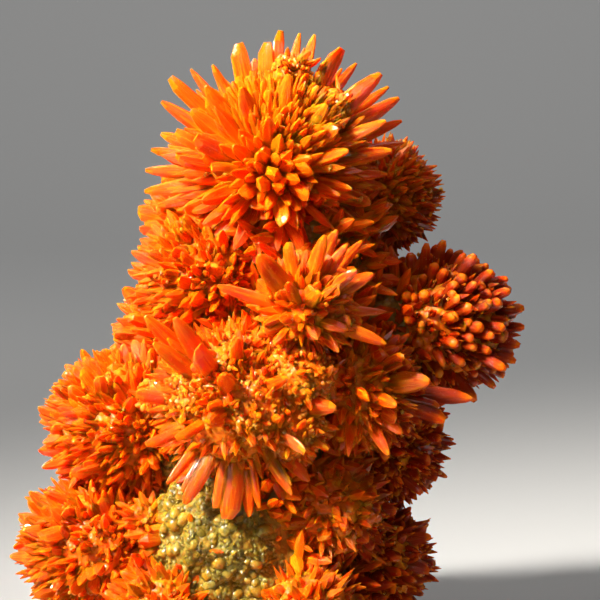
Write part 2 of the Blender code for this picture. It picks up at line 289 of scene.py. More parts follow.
# The smaller crystals under the main ones: their forms, and their spacing and redness beside the main ones'
UNDER_FORMS = ("needle", "spear")
UNDER_SPACING = 0.74
UNDER_RED = 0.4
# The shapes in a fan, which share of its spread it keeps free of the ball's own small crystals, how much
# shorter its crystals are for each radian from its middle, and the shortest one that is kept
FAN_FORMS = ("spear", "chisel", "tongue", "needle")
FAN_FREE = 0.85
FAN_FALL = 0.08
FAN_LEAST = 1.0
# The teeth on the core itself: where they start, as a share of it, how far apart they are, how wide and
# high
TOOTH_FOOT = 0.86
TOOTH_SPACING = 0.88
TOOTH_WIDTH = (0.5, 1.15)
TOOTH_RISE = (0.6, 2.6)
# Which share of the small crystals carry a grain, its size, and how pale it is
GRAINY_SHARE = 0.35
GLINT_SIZE = (0.2, 0.42)
GLINT_PALENESS = (0.05, 0.6)
# A sugary lump: the grains on a square millimetre of it, their forms, their size, how pale they are, how
# deep in the core's skin one may lie, and the share of another lump's radius within which none is put
LUMP_GRAINS = 4.2
LUMP_FORMS = ("grain", "pebble", "tooth")
LUMP_GRAIN_SIZE = (0.22, 0.6)
LUMP_PALENESS = (0.05, 0.45)
LUMP_DEPTH = 0.3
LUMP_COVER = 0.86
# Which share of a lump's grains is a sprouting crystal instead, its length and width, and how deep its
# root is
SPROUT_SHARE = 0.22
SPROUT_LENGTH = (1.0, 2.4)
SPROUT_WIDTH = (0.45, 0.95)
SPROUT_ROOT = 0.5
# How long and how wide the ball's own crystals are on a lump, as shares of what they are elsewhere
LUMP_SHORTER = 0.66
LUMP_NARROWER = 0.8

# One crystal modelled upright. Heights run from its root at 0 to its tip at 1, widths and depths are
# shares of its greatest, and lean is how far a ring stands to one side.
Ring = namedtuple("Ring", "height width depth lean")
FORM_RINGS = {
    "tongue": (6, [
        Ring(0.0, 0.80, 0.90, 0.0),
        Ring(0.58, 1.0, 1.0, 0.0),
        Ring(0.79, 0.84, 0.84, 0.01),
        Ring(0.93, 0.54, 0.54, 0.03),
        Ring(1.0, 0.22, 0.20, 0.05),
    ]),
    "spear": (6, [
        Ring(0.0, 0.66, 0.8, 0.0),
        Ring(0.58, 1.0, 1.0, 0.0),
        Ring(0.84, 0.68, 0.70, 0.02),
        Ring(1.0, 0.10, 0.14, 0.04),
    ]),
    "chisel": (6, [
        Ring(0.0, 0.7, 0.8, 0.0),
        Ring(0.66, 1.0, 1.0, 0.0),
        Ring(0.90, 0.88, 0.70, 0.05),
        Ring(1.0, 0.46, 0.12, 0.16),
    ]),
    "rod": (8, [
        Ring(0.0, 0.66, 0.7, 0.0),
        Ring(0.80, 1.0, 1.0, 0.0),
        Ring(0.93, 0.84, 0.82, 0.03),
        Ring(1.0, 0.42, 0.40, 0.06),
    ]),
    "needle": (5, [
        Ring(0.0, 0.8, 0.8, 0.0),
        Ring(0.72, 1.0, 1.0, 0.0),
        Ring(1.0, 0.14, 0.14, 0.03),
    ]),
    "tooth": (4, [
        Ring(0.0, 1.0, 1.0, 0.0),
        Ring(0.62, 0.86, 0.86, 0.0),
        Ring(1.0, 0.12, 0.12, 0.0),
    ]),
}
# Forms also made with the edges along them bevelled, for large crystals, and the bevel as a percentage
BEVELLED_FORMS = ("tongue", "spear", "chisel")
LONG_BEVEL = 14
# A grain is a lozenge: a block sheared along its long corner. A pebble is the same with rounder edges.
GRAIN_SHEAR = 0.28
GRAIN_BEVEL = 0.12
PEBBLE_BEVEL = 0.26

# A modelled form as arrays: its points, its face corners, where each face starts among them, and for each
# corner its place on its facet
Form = namedtuple("Form", "points corners starts places")
# One crystal to copy from a form: side is the way its width goes, and tone, red and pale, each from 0 to
# 1, are for its material
Crystal = namedtuple("Crystal", "form root direction side length width depth bend tone red pale")
# How nearly up or down a face looks if it is an end of an upright crystal, and how far an edge along one
# rises
END_UPRIGHT = 0.9
EDGE_RISE = 0.02
# How wide a facet is, in radians round the crystal, if it is more than a bevel
FACET_TURN = 0.3


def deselect_all():
    bpy.ops.object.select_all(action="DESELECT")


def select_where(mesh, kind, wanted):
    """Selects only the edit mesh's faces or edges for which wanted says so."""
    bpy.ops.mesh.select_all(action="DESELECT")
    bm = bmesh.from_edit_mesh(mesh)
    for item in getattr(bm, kind):
        if wanted(item):
            item.select_set(True)
    bmesh.update_edit_mesh(mesh)


def is_long_edge(edge):
    """Whether an edge runs up a crystal and not round it."""
    low, high = sorted(vert.co.z for vert in edge.verts)
    return high - low > EDGE_RISE


def model_crystal(sides, bevel, rings):
    """A prism whose top is extruded and scaled ring by ring, with its long edges bevelled."""
    foot, first = rings[:2]
    deselect_all()
    middle = (0, 0, first.height / 2)
    bpy.ops.mesh.primitive_cylinder_add(vertices=sides, radius=0.5, depth=first.height, location=middle)
    bpy.ops.object.transform_apply(location=True)
    made = bpy.context.object
    bpy.ops.object.mode_set(mode="EDIT")
    bpy.context.tool_settings.mesh_select_mode = (False, False, True)
    select_where(made.data, "faces", lambda face: face.normal.z < -END_UPRIGHT)
    bpy.ops.transform.resize(value=(foot.width, foot.depth, 1), center_override=(0, 0, 0))
    select_where(made.data, "faces", lambda face: face.normal.z > END_UPRIGHT)
    bpy.ops.transform.resize(value=(first.width, first.depth, 1), center_override=(0, 0, 0))
    for last, ring in zip(rings[1:], rings[2:]):
        rise = (ring.lean - last.lean, 0, ring.height - last.height)
        bpy.ops.mesh.extrude_region_move(TRANSFORM_OT_translate={"value": rise})
        grow = (ring.width / last.width, ring.depth / last.depth, 1)
        bpy.ops.transform.resize(value=grow, center_override=(ring.lean, 0, 0))
    if bevel:
        bpy.context.tool_settings.mesh_select_mode = (False, True, False)
        select_where(made.data, "edges", is_long_edge)
        bpy.ops.mesh.bevel(offset_type="PERCENT", offset_pct=bevel, segments=1, affect="EDGES")
    bpy.ops.object.mode_set(mode="OBJECT")
    return made


def model_grain(bevel):
    """A small block leaned over along its diagonal, with worn edges."""
    deselect_all()
    bpy.ops.mesh.primitive_cube_add(size=1.0, location=(0, 0, 0.5))
    bpy.ops.object.transform_apply(location=True)
    made = bpy.context.object
    bpy.ops.object.mode_set(mode="EDIT")
    bpy.context.tool_settings.mesh_select_mode = (False, False, True)
    select_where(made.data, "faces", lambda face: face.normal.z > END_UPRIGHT)
    bpy.ops.transform.translate(value=(GRAIN_SHEAR, GRAIN_SHEAR, 0))
    bpy.ops.mesh.select_all(action="SELECT")
    bpy.ops.mesh.bevel(offset=bevel, segments=1, affect="EDGES")
    bpy.ops.object.mode_set(mode="OBJECT")
    return made


def facet_places(mesh):
    """For each face corner, how far it is across its facet and how far up the crystal, both from 0 to 1."""
    places = []
    for face in mesh.polygons:
        corners = [mesh.vertices[index].co for index in face.vertices]
        heading = math.atan2(face.center.y, face.center.x)
        turns = []
        for corner in corners:
            turn = math.atan2(corner.y, corner.x) - heading
            turns.append(math.remainder(turn, 2 * math.pi))
        is_narrow = max(turns) - min(turns) < FACET_TURN
        is_end = abs(face.normal.z) > END_UPRIGHT
        for corner, turn in zip(corners, turns):
            across = 0.0 if is_narrow or is_end or turn < 0 else 1.0
            places.append((across, corner.z))
    return np.array(places)


def as_form(made):
    """Reads a modelled crystal into arrays, which are copied from then on, and removes it."""
    mesh = made.data
    points = np.array([vert.co for vert in mesh.vertices])
    corners = np.array([loop.vertex_index for loop in mesh.loops])
    starts = np.array([face.loop_start for face in mesh.polygons])
    form = Form(points, corners, starts, facet_places(mesh))
    bpy.data.objects.remove(made, do_unlink=True)
    return form


def model_forms():
    forms = {name: as_form(model_crystal(sides, 0, rings)) for name, (sides, rings) in FORM_RINGS.items()}
    for name in BEVELLED_FORMS:
        sides, rings = FORM_RINGS[name]
        forms["large_" + name] = as_form(model_crystal(sides, LONG_BEVEL, rings))
    forms["grain"] = as_form(model_grain(GRAIN_BEVEL))
    forms["pebble"] = as_form(model_grain(PEBBLE_BEVEL))
    return forms


def wide_side(direction, facing, twist):
    """The way a crystal's width goes: square to its length and to facing, then turned about its length."""
    side = direction.cross(facing)
    if side.length < 0.05:
        side = direction.orthogonal()
    side.normalize()
    return Quaternion(direction, twist) @ side


def neighbour_planes(name):
    """Planes that keep a ball off the floor and, where their reaches meet, off each other ball.

    The floor's comes first. Each is (direction, distance from this nucleus).
    """
    spray = SPRAYS[name]
    nucleus = Vector(spray.nucleus)
    planes = [(Vector((0, 0, -1)), nucleus.z - FLOOR_CLEARANCE)]
    for other_name, other in SPRAYS.items():
        if other_name != name:
            towards = Vector(other.nucleus) - nucleus
            apart = towards.length
            at = (apart**2 + spray.reach**2 - other.reach**2) / (2 * apart)
            planes.append((towards / apart, at))
    return planes


def room_along(start, way, length, planes, over):
    """How long a crystal can be if its tip may go over each plane by so much, but not over the first one."""
    for number, (normal, at) in enumerate(planes):
        along = way.dot(normal)
        if along > 0.02:
            beyond = over if number else 0.0
            length = min(length, (at + beyond - start.dot(normal)) / along)
    return length


def length_to_reach(start, way, reach):
    """How long a crystal has to be for its tip to come as far as reach from the nucleus."""
    toward = start.dot(way)
    return math.sqrt(max(0.0, toward**2 + reach**2 - start.length_squared)) - toward


def source_of(spray):
    """The point, from the nucleus, that the crystals of a ball seem to come from."""
    return Vector(spray.sweep) * -spray.core * FOOT_SHARE


def near_any(point, spots, share=1.0):
    """Whether a point is in any of some round spots, or within a share of one's radius."""
    return any((point - Vector(spot[:3])).length < spot[3] * share for spot in spots)


def random_offset(amount, dice):
    """A random step, of about an amount along each axis."""
    return Vector([dice.gauss(0, amount) for _ in range(3)])


def spread_directions(count, dice, jitter):
    """Directions spread evenly over a ball and then shaken by a share of their spacing."""
    turn = Quaternion([dice.gauss(0, 1) for _ in range(4)]).normalized()
    shake = jitter * math.sqrt(4 * math.pi / count)
    found = []
    for number in range(count):
        height = 1 - 2 * (number + 0.5) / count
        ring = math.sqrt(1 - height**2)
        angle = number * GOLDEN_TURN
        way = Vector((ring * math.cos(angle), ring * math.sin(angle), height)) + random_offset(shake, dice)
        found.append(turn @ way.normalized())
    return found


def random_bend(direction, amount, dice):
    """A slight curve to one side, as a share of the length."""
    return direction.orthogonal().normalized() * dice.gauss(0, amount)


def large_crystals(spray, planes, dice):
    """The crystals whose tips are in the table, some of them with a twin beside them."""
    nucleus = Vector(spray.nucleus)
    source = source_of(spray)
    found = []
    for x, y, z, tip_width in spray.tips:
        width = tip_width * (LARGE_SWELL if spray.habit is PETALS else 1.0)
        arrow = Vector((x, y, z)) - nucleus - source
        way = arrow.normalized()
        buried = length_to_reach(source, way, spray.core * ROOT_SHARE)
        foot = source + way * buried
        length = room_along(foot, way, arrow.length - buried, planes, LARGE_OVER)
        side = wide_side(way, VIEW_FROM, dice.gauss(0, 0.3))
        form = dice.choice(LARGE_FORMS if width > SLIM_WIDTH else SLIM_FORMS)
        if spray.habit is RODS:
            form = "rod"
        bend = random_bend(way, 0.02, dice)
        depth = width * spray.habit.flatness * dice.uniform(0.95, 1.2)
        twin_turn = Quaternion(side.cross(way), dice.choice((-1, 1)) * dice.uniform(*TWIN_TURN))
        twin_length = dice.uniform(*TWIN_LENGTH)
        twin_shift = side * width * dice.uniform(-TWIN_SHIFT, TWIN_SHIFT)
        tones = (dice.random(), dice.random())
        has_twin = dice.random() < TWIN_SHARE and width > SLIM_WIDTH
        if length < spray.core * (1 - ROOT_SHARE) + LARGE_SHOWING:
            continue
        redness = (0.45 + 0.55 * tones[1]) * spray.habit.red
        found.append(
            Crystal(form, nucleus + foot, way, side, length, width, depth, bend, tones[0], redness, 0.0))
        if has_twin:
            twin_foot = nucleus + foot + twin_shift
            found.append(Crystal(form, twin_foot, twin_turn @ way, side, length * twin_length,
                                 width * TWIN_WIDTH, depth * TWIN_DEPTH, bend, tones[1], TWIN_RED, 0.0))
    return found


def ball_crystals(name, spray, planes, large, dice):
    """The main crystals between the large ones and smaller ones under them."""
    nucleus = Vector(spray.nucleus)
    source = source_of(spray)
    habit = spray.habit
    under_widths, under_shares = habit.under
    lumps = SUGARY_LUMPS.get(name, [])
    tips = [crystal.root + crystal.direction * crystal.length - nucleus for crystal in large]
    layers = [
        (habit.spacing, habit.share, habit.width, habit.forms, habit.red, MAIN_CROWDING),
        (habit.spacing * UNDER_SPACING, under_shares, under_widths, UNDER_FORMS, habit.red * UNDER_RED,
         UNDER_CROWDING),
    ]
    found = []
    for spacing, shares, widths, forms, red, crowding in layers:
        count = round(4 * math.pi * spray.reach**2 / spacing**2)
        for out in spread_directions(count, dice, jitter=0.42):
            foot = out * spray.core * FOOT_SHARE
            way = (foot - source).normalized() + random_offset(habit.shake, dice)
            way.normalize()
            swell = noise.noise(out * 2.6 + nucleus)
            level = min(1, max(0, 0.5 + 0.6 * swell + dice.uniform(-0.35, 0.35)))
            share = shares[0] + (shares[1] - shares[0]) * level
            width = widths[0] + (widths[1] - widths[0]) * dice.random() ** 1.3
            form = dice.choice(forms)
            tone = dice.random()
            side = wide_side(way, out, dice.gauss(0, 0.6))
            lean = random_bend(way, 0.035, dice)
            over = dice.uniform(*SMALL_OVER)
            depth = width * habit.flatness * dice.uniform(0.9, 1.25)
            redness = red * dice.uniform(0.4, 1.0)
            length = room_along(foot, way, length_to_reach(foot, way, spray.reach * share), planes, over)
            tip = foot + way * length
            if length < spray.core * (1 - FOOT_SHARE) + SMALL_SHOWING:
                continue
            if near_any(nucleus + foot + way * length * 0.8, LUMPS):
                continue
            if any(tip.angle(other) < crowding for other in tips):
                continue
            if any(out.angle(Vector(fan.way)) < fan.spread * FAN_FREE for fan in FANS.get(name, [])):
                continue
            if near_any(nucleus + tip, lumps):
                length *= LUMP_SHORTER
                width *= LUMP_NARROWER
            found.append(
                Crystal(form, nucleus + foot, way, side, length, width, depth, lean, tone, redness, 0.0))
    return found


def fan_crystals(name, spray, planes, dice):
    """Crystals so close that they look like one ribbed mass."""
    nucleus = Vector(spray.nucleus)
    source = source_of(spray)
    found = []
    for fan in FANS.get(name, []):
        middle = Vector(fan.way).normalized()
        for number in range(fan.count):
            tilt = fan.spread * math.sqrt((number + 0.5) / fan.count)
            aside = Quaternion(middle, number * GOLDEN_TURN) @ middle.orthogonal()
            out = (middle + aside.normalized() * math.tan(tilt)).normalized()
            foot = out * spray.core * FOOT_SHARE
            way = ((foot - source).normalized() + random_offset(0.05, dice)).normalized()
            reach = spray.reach * (dice.uniform(*fan.shares) - FAN_FALL * tilt)
            width = dice.uniform(*fan.widths)
            length = room_along(foot, way, length_to_reach(foot, way, reach), planes, FAN_OVER)
            side = wide_side(way, VIEW_FROM, dice.gauss(0, 0.5))
            form = dice.choice(FAN_FORMS)
            bend = random_bend(way, 0.02, dice)
            if length > FAN_LEAST:
                found.append(Crystal(form, nucleus + foot, way, side, length, width, width * 0.7, bend,
                                     dice.random(), dice.uniform(0.0, 0.35), 0.0))
    return found


def core_teeth(spray, planes, dice):
    """Short teeth on the core of a ball."""
    nucleus = Vector(spray.nucleus)
    source = source_of(spray)
    found = []
    buried = spray.core * (1 - TOOTH_FOOT)
    count = round(4 * math.pi * spray.core**2 / TOOTH_SPACING**2)
    for out in spread_directions(count, dice, jitter=0.4):
        foot = out * spray.core * TOOTH_FOOT
        way = ((foot - source).normalized() + random_offset(0.2, dice)).normalized()
        wanted = buried + dice.uniform(*TOOTH_RISE)
        width = dice.uniform(*TOOTH_WIDTH)
        tone = dice.random()
        side = wide_side(way, out, dice.uniform(0, math.pi))
        length = room_along(foot, way, wanted, planes, TOOTH_OVER)
        if length > buried + TOOTH_SHOWING:
            found.append(Crystal("tooth", nucleus + foot, way, side, length, width, width * 0.9, STRAIGHT,
                                 tone, 0.15, 0.0))
    return found


def grain_at(place, size, lean, dice, pale, form="grain"):
    """A grain of about a size whose middle is at a place."""
    width = size * dice.uniform(0.7, 1.1)
    depth = size * dice.uniform(0.7, 1.1)
    side = lean.orthogonal().normalized()
    root = place - lean * size / 2
    return Crystal(form, root, lean, side, size, width, depth, STRAIGHT, dice.random(), 0.0, pale)


def glinting_grains(name, small, dice):
    """Tiny grains stuck on the sides of crystals, and grains and sprouts all over the sugary lumps."""
    found = []
    for crystal in dice.sample(small, k=round(len(small) * GRAINY_SHARE)):
        flat = crystal.direction.cross(crystal.side)
        up = dice.uniform(0.4, 0.9)
        across = dice.uniform(-0.3, 0.3)
        out = dice.choice((-1, 1)) * crystal.depth * 0.42
        axis_place = crystal.root + crystal.direction * crystal.length * up
        place = axis_place + crystal.side * crystal.width * across
        lean = random_offset(1, dice).normalized()
        size = dice.uniform(*GLINT_SIZE)
        found.append(grain_at(place + flat * out, size, lean, dice, dice.uniform(*GLINT_PALENESS)))
    lumps = SUGARY_LUMPS.get(name, [])
    nucleus = Vector(SPRAYS[name].nucleus)
    hidden = SPRAYS[name].core * CORE_SWELL - LUMP_DEPTH
    for x, y, z, radius in lumps:
        count = round(4 * math.pi * radius**2 * LUMP_GRAINS)
        for outward in spread_directions(count, dice, jitter=0.5):
            place = Vector((x, y, z)) + outward * radius * dice.uniform(0.92, 1.08)
            if near_any(place, lumps, LUMP_COVER) or (place - nucleus).length < hidden:
                continue
            lean = (outward + random_offset(0.7, dice)).normalized()
            if dice.random() < SPROUT_SHARE:
                length = dice.uniform(*SPROUT_LENGTH)
                width = dice.uniform(*SPROUT_WIDTH)
                side = wide_side(lean, outward, dice.uniform(0, 3))
                found.append(Crystal("spear", place - outward * SPROUT_ROOT, lean, side, length, width,
                                     width * 0.7, STRAIGHT, dice.random(), dice.uniform(0, 0.7), 0.0))
                continue
            form = dice.choice(LUMP_FORMS)
            size = dice.uniform(*LUMP_GRAIN_SIZE)
            found.append(grain_at(place, size, lean, dice, dice.uniform(*LUMP_PALENESS), form))
    return found


def placed_points(form, crystals):
    """Every copy's points, all at once, in metres."""
    rows = {field: np.array([list(getattr(crystal, field)) for crystal in crystals])
            for field in ("root", "direction", "side", "bend")}
    sizes = {field: np.array([getattr(crystal, field) for crystal in crystals])[:, None, None]
             for field in ("length", "width", "depth")}
    flat = np.cross(rows["direction"], rows["side"])
    x, y, z = (form.points[None, :, axis, None] for axis in range(3))
    points = rows["root"][:, None, :] + rows["direction"][:, None, :] * z * sizes["length"]
    points = points + rows["side"][:, None, :] * x * sizes["width"]
    points = points + flat[:, None, :] * y * sizes["depth"]
    points = points + rows["bend"][:, None, :] * z**2 * sizes["length"]
    return points * MM


class Bunch:
    """A mesh put together from many copied shapes."""

    def __init__(self):
        self.points = []
        self.corners = []
        self.starts = []
        self.places = []
        self.slots = []
        self.values = {"tone": [], "red": [], "pale": []}
        self.point_count = 0
        self.corner_count = 0

    def add(self, points, corners, starts, places, slot, **values):
        """Adds copies of one shape: points is copies x points x 3, and a value is a number for each copy."""
        copies, count = points.shape[:2]
        firsts = np.arange(copies)[:, None]
        self.points.append(points.reshape(-1, 3))
        self.corners.append((corners[None, :] + firsts * count + self.point_count).ravel())
        self.starts.append((starts[None, :] + firsts * len(corners) + self.corner_count).ravel())
        self.places.append(np.tile(places, (copies, 1)))
        self.slots.append(np.full(copies * len(starts), slot))
        for name, value in values.items():
            self.values[name].append(np.repeat(value, count))
        self.point_count += copies * count
        self.corner_count += copies * len(corners)

    def add_crystals(self, crystals, forms):
        """Adds crystals, those that are pale at all in the second material."""
        groups = {}
        for crystal in crystals:
            slot = GRAIN_SLOT if crystal.pale > 0 else CRYSTAL_SLOT
            groups.setdefault((crystal.form, slot), []).append(crystal)
        for (name, slot), group in groups.items():
            form = forms[name]
            numbers = {}
            for value in self.values:
                numbers[value] = np.array([getattr(crystal, value) for crystal in group])
            self.add(placed_points(form, group), form.corners, form.starts, form.places, slot, **numbers)

    def add_mesh(self, mesh, slot, **values):
        """Adds a modelled mesh, in millimetres, as it is."""
        points = np.array([vert.co for vert in mesh.vertices])[None] * MM
        corners = np.array([loop.vertex_index for loop in mesh.loops])
        starts = np.array([face.loop_start for face in mesh.polygons])
        places = np.zeros((len(corners), 2))
        numbers = {name: np.array([value]) for name, value in values.items()}
        self.add(points, corners, starts, places, slot, **numbers)

    def as_piece(self, name, materials, sharp_angle):
        mesh = bpy.data.meshes.new(name)
        points = np.concatenate(self.points)
        corners = np.concatenate(self.corners)
        starts = np.concatenate(self.starts)
        mesh.vertices.add(len(points))
        mesh.vertices.foreach_set("co", points.astype(np.float32).ravel())
        mesh.loops.add(len(corners))
        mesh.loops.foreach_set("vertex_index", corners.astype(np.int32))
        mesh.polygons.add(len(starts))
        mesh.polygons.foreach_set("loop_start", starts.astype(np.int32))
        mesh.polygons.foreach_set("material_index", np.concatenate(self.slots).astype(np.int32))
        mesh.update(calc_edges=True)
        facets = mesh.uv_layers.new(name="facets")
        facets.uv.foreach_set("vector", np.concatenate(self.places).astype(np.float32).ravel())
        for value, parts in self.values.items():
            attribute = mesh.attributes.new(value, "FLOAT", "POINT")
            attribute.data.foreach_set("value", np.concatenate(parts).astype(np.float32))
        mesh.shade_smooth()
        mesh.set_sharp_from_angle(angle=math.radians(sharp_angle))
        for material in materials:
            mesh.materials.append(material)
        piece = bpy.data.objects.new(name, mesh)
        bpy.context.scene.collection.objects.link(piece)
        return piece


# How much larger the solid middle of a ball is made than in the plain model, where teeth cover it
CORE_SWELL = 1.08
# The knobs of a sugary skin: how far apart they are and how high, in millimetres
KNOB_SIZE = 1.5
KNOB_HEIGHT = 1.1
# The broad swells of a stone and of the column: how many to a millimetre and how high, and how far the
# column is drawn in to make room for them
STONE_SWELLS = 0.5
STONE_SWELL_HEIGHT = 0.4
COLUMN_SWELLS = 0.45
COLUMN_SWELL_HEIGHT = 0.6
COLUMN_DRAWN_IN = 0.3
# An edge sharper than this, in degrees, is seen as an edge: on crystals, on round rods and on the column
CRYSTAL_EDGE = 32
ROD_EDGE = 70
COLUMN_EDGE = 52
# Where a ball's materials, and the column's, are in its list
CRYSTAL_SLOT = 0
GRAIN_SLOT = 1
CORE_SLOT = 2
ROCK_SLOT = 0


def knob_height(place):
    """How far the round knobs of a sugary skin stand out at a place, which may be less than nothing."""
    distances, _ = noise.voronoi(place / KNOB_SIZE)
    return (0.45 - distances[0]) * KNOB_HEIGHT


def model_stone(middle, radius, planes, subdivisions):
    """A round stone with a knobbly skin, flattened where it meets its neighbours."""
    deselect_all()
    bpy.ops.mesh.primitive_ico_sphere_add(subdivisions=subdivisions, radius=radius, location=(0, 0, 0))
    made = bpy.context.object
    for vert in made.data.vertices:
        swell = noise.noise(vert.co * STONE_SWELLS + middle) * STONE_SWELL_HEIGHT
        swell += knob_height(vert.co + middle)
        place = vert.co * (1 + swell / radius)
        for normal, at in planes:
            over = place.dot(normal) - at
            if over > 0:
                place -= normal * over
        vert.co = place + middle
    return made


def grow_spray(name, forms, materials):
    """One ball: its core, its sugary lumps, and all its crystals and grains."""
    spray = SPRAYS[name]
    planes = neighbour_planes(name)
    dice = random.Random(name)
    large = large_crystals(spray, planes, dice)
    small = ball_crystals(name, spray, planes, large, dice)
    fans = fan_crystals(name, spray, planes, dice)
    teeth = core_teeth(spray, planes, dice)
    grains = glinting_grains(name, small, dice)
    bunch = Bunch()
    stones = [model_stone(Vector(spray.nucleus), spray.core * CORE_SWELL, planes, subdivisions=4)]
    for x, y, z, radius in SUGARY_LUMPS.get(name, []):
        stones.append(model_stone(Vector((x, y, z)), radius, [], subdivisions=3))
    for stone in stones:
        bunch.add_mesh(stone.data, CORE_SLOT, tone=0.5, red=0.0, pale=0.0)
        bpy.data.objects.remove(stone, do_unlink=True)
    bunch.add_crystals(large + small + fans + teeth + grains, forms)
    edge = ROD_EDGE if spray.habit is RODS else CRYSTAL_EDGE
    piece = bunch.as_piece(name + "_crystals", materials, edge)
    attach(piece, "root")
    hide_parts(name + "_spray")


# The column's skin: how finely it is remeshed, and how many places on it are tried for a grain or a crystal
COLUMN_VOXEL = 0.7
COLUMN_PLACES = 14000
# How far those places may lie in a ball's core
COLUMN_OVERLAP = 0.2
# In the pale patches, an orange speck: the share of places with one, its length and width and how deep
# its root is
SPECK_SHARE = 0.01
SPECK_LENGTH = (1.0, 2.0)
SPECK_WIDTH = (0.5, 0.9)
SPECK_ROOT = 0.4
# The grains there: the share of pebbles among them, the size of a pebble and of another grain, how deep
# they lie, in sizes, and how pale they are
PEBBLE_SHARE = 0.22
PEBBLE_SIZE = (0.8, 1.7)
GRAIN_SIZE = (0.3, 0.65)
GRAIN_BED = 0.4
GRAIN_PALENESS = (0.8, 1.0)
# On the rest, the crust: the share of places with a crystal, its forms, its length and width and its
# root's depth
CRUST_SHARE = 0.22
CRUST_FORMS = ("needle", "spear", "needle")
CRUST_LENGTH = (1.8, 5.2)
CRUST_WIDTH = (0.8, 1.6)
CRUST_ROOT = 0.6


def model_column():
    """The lumps joined in one skin, roughened and cut off flat at the floor."""
    deselect_all()
    lumps = []
    for x, y, z, radius in LUMPS:
        bpy.ops.mesh.primitive_ico_sphere_add(subdivisions=4, radius=radius, location=(x, y, z))
        lumps.append(bpy.context.object)
    for lump in lumps:
        lump.select_set(True)
    bpy.context.view_layer.objects.active = lumps[0]
    bpy.ops.object.join()
    column = bpy.context.object
    bpy.ops.object.transform_apply(location=True, rotation=True, scale=True)
    column.data.remesh_voxel_size = COLUMN_VOXEL
    bpy.ops.object.voxel_remesh()
    normals = [vert.normal.copy() for vert in column.data.vertices]
    for vert, normal in zip(column.data.vertices, normals):
        rough = noise.noise(vert.co * COLUMN_SWELLS) * COLUMN_SWELL_HEIGHT + knob_height(vert.co)
        vert.co += normal * (rough - COLUMN_DRAWN_IN)
    bpy.ops.object.mode_set(mode="EDIT")
    bpy.ops.mesh.select_all(action="SELECT")
    bpy.ops.mesh.bisect(plane_co=(0, 0, 0), plane_no=(0, 0, -1), use_fill=True, clear_outer=True)
    bpy.ops.object.mode_set(mode="OBJECT")
    return column


def column_points(column, count, dice):
    """Places spread over the column's skin by area, clear of the balls' cores, with their outward normals."""
    faces = [face for face in column.data.polygons if face.center.z > FLOOR_CLEARANCE]
    weights = [face.area for face in faces]
    found = []
    for face in dice.choices(faces, weights, k=count):
        place = face.center.copy()
        depths = (spray.core - (place - Vector(spray.nucleus)).length for spray in SPRAYS.values())
        if all(depth < COLUMN_OVERLAP for depth in depths):
            found.append((place, face.normal.copy()))
    return found


def grow_column(forms, materials):
    """The pale column under its sugary grains, and the orange crust on the rest of it."""
    dice = random.Random("column")
    column = model_column()
    grains = []
    crust = []
    for place, normal in column_points(column, COLUMN_PLACES, dice):
        if near_any(place, PALE_PATCHES):
            if dice.random() < SPECK_SHARE:
                lean = (normal + random_offset(0.5, dice)).normalized()
                side = wide_side(lean, VIEW_FROM, dice.uniform(0, math.pi))
                length = dice.uniform(*SPECK_LENGTH)
                width = dice.uniform(*SPECK_WIDTH)
                crust.append(Crystal("spear", place - normal * SPECK_ROOT, lean, side, length, width, 0.5,
                                     STRAIGHT, dice.random(), 0.2, 0.0))
            is_pebble = dice.random() < PEBBLE_SHARE
            size = dice.uniform(*(PEBBLE_SIZE if is_pebble else GRAIN_SIZE))
            lean = (normal + random_offset(0.9, dice)).normalized()
            form = "pebble" if is_pebble else "grain"
            bed = place - normal * size * GRAIN_BED
            grains.append(grain_at(bed, size, lean, dice, dice.uniform(*GRAIN_PALENESS), form))
        elif dice.random() < CRUST_SHARE:
            length = dice.uniform(*CRUST_LENGTH)
            width = dice.uniform(*CRUST_WIDTH)
            lean = (normal + random_offset(0.3, dice)).normalized()
            foot = place - normal * CRUST_ROOT
            if min(foot.z, foot.z + lean.z * length) < FLOOR_CLEARANCE + width / 2:
                continue
            form = dice.choice(CRUST_FORMS)
            side = wide_side(lean, VIEW_FROM, dice.uniform(0, math.pi))
            crust.append(Crystal(form, foot, lean, side, length, width, width * 0.8,
                                 random_bend(lean, 0.03, dice), dice.random(), dice.uniform(0.0, 0.6), 0.0))
    stone = Bunch()
    stone.add_mesh(column.data, ROCK_SLOT, tone=0.5, red=0.0, pale=1.0)
    stone.add_crystals(grains, forms)
    bpy.data.objects.remove(column, do_unlink=True)
    piece = stone.as_piece("sugary_column", [materials["rock"], materials["grain"]], COLUMN_EDGE)
    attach(piece, "root")
    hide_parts("pale_matrix")
    coat = Bunch()
    coat.add_crystals(crust, forms)
    skin = coat.as_piece("orange_crust", [materials["orange"]], CRYSTAL_EDGE)
    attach(skin, "root")
    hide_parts("pale_matrix")


class Wire:
    """A socket's value in a shader expression."""

    def __init__(self, finish, socket):
        self.finish = finish
        self.socket = socket

    def maths(self, operation, first, second):
        return self.finish.add("ShaderNodeMath", {"operation": operation}, {0: first, 1: second})

    def __add__(self, other):
        return self.maths("ADD", self, other)

    def __radd__(self, other):
        return self.maths("ADD", other, self)

    def __sub__(self, other):
        return self.maths("SUBTRACT", self, other)

    def __rsub__(self, other):
        return self.maths("SUBTRACT", other, self)

    def __mul__(self, other):
        return self.maths("MULTIPLY", self, other)

    def __rmul__(self, other):
        return self.maths("MULTIPLY", other, self)


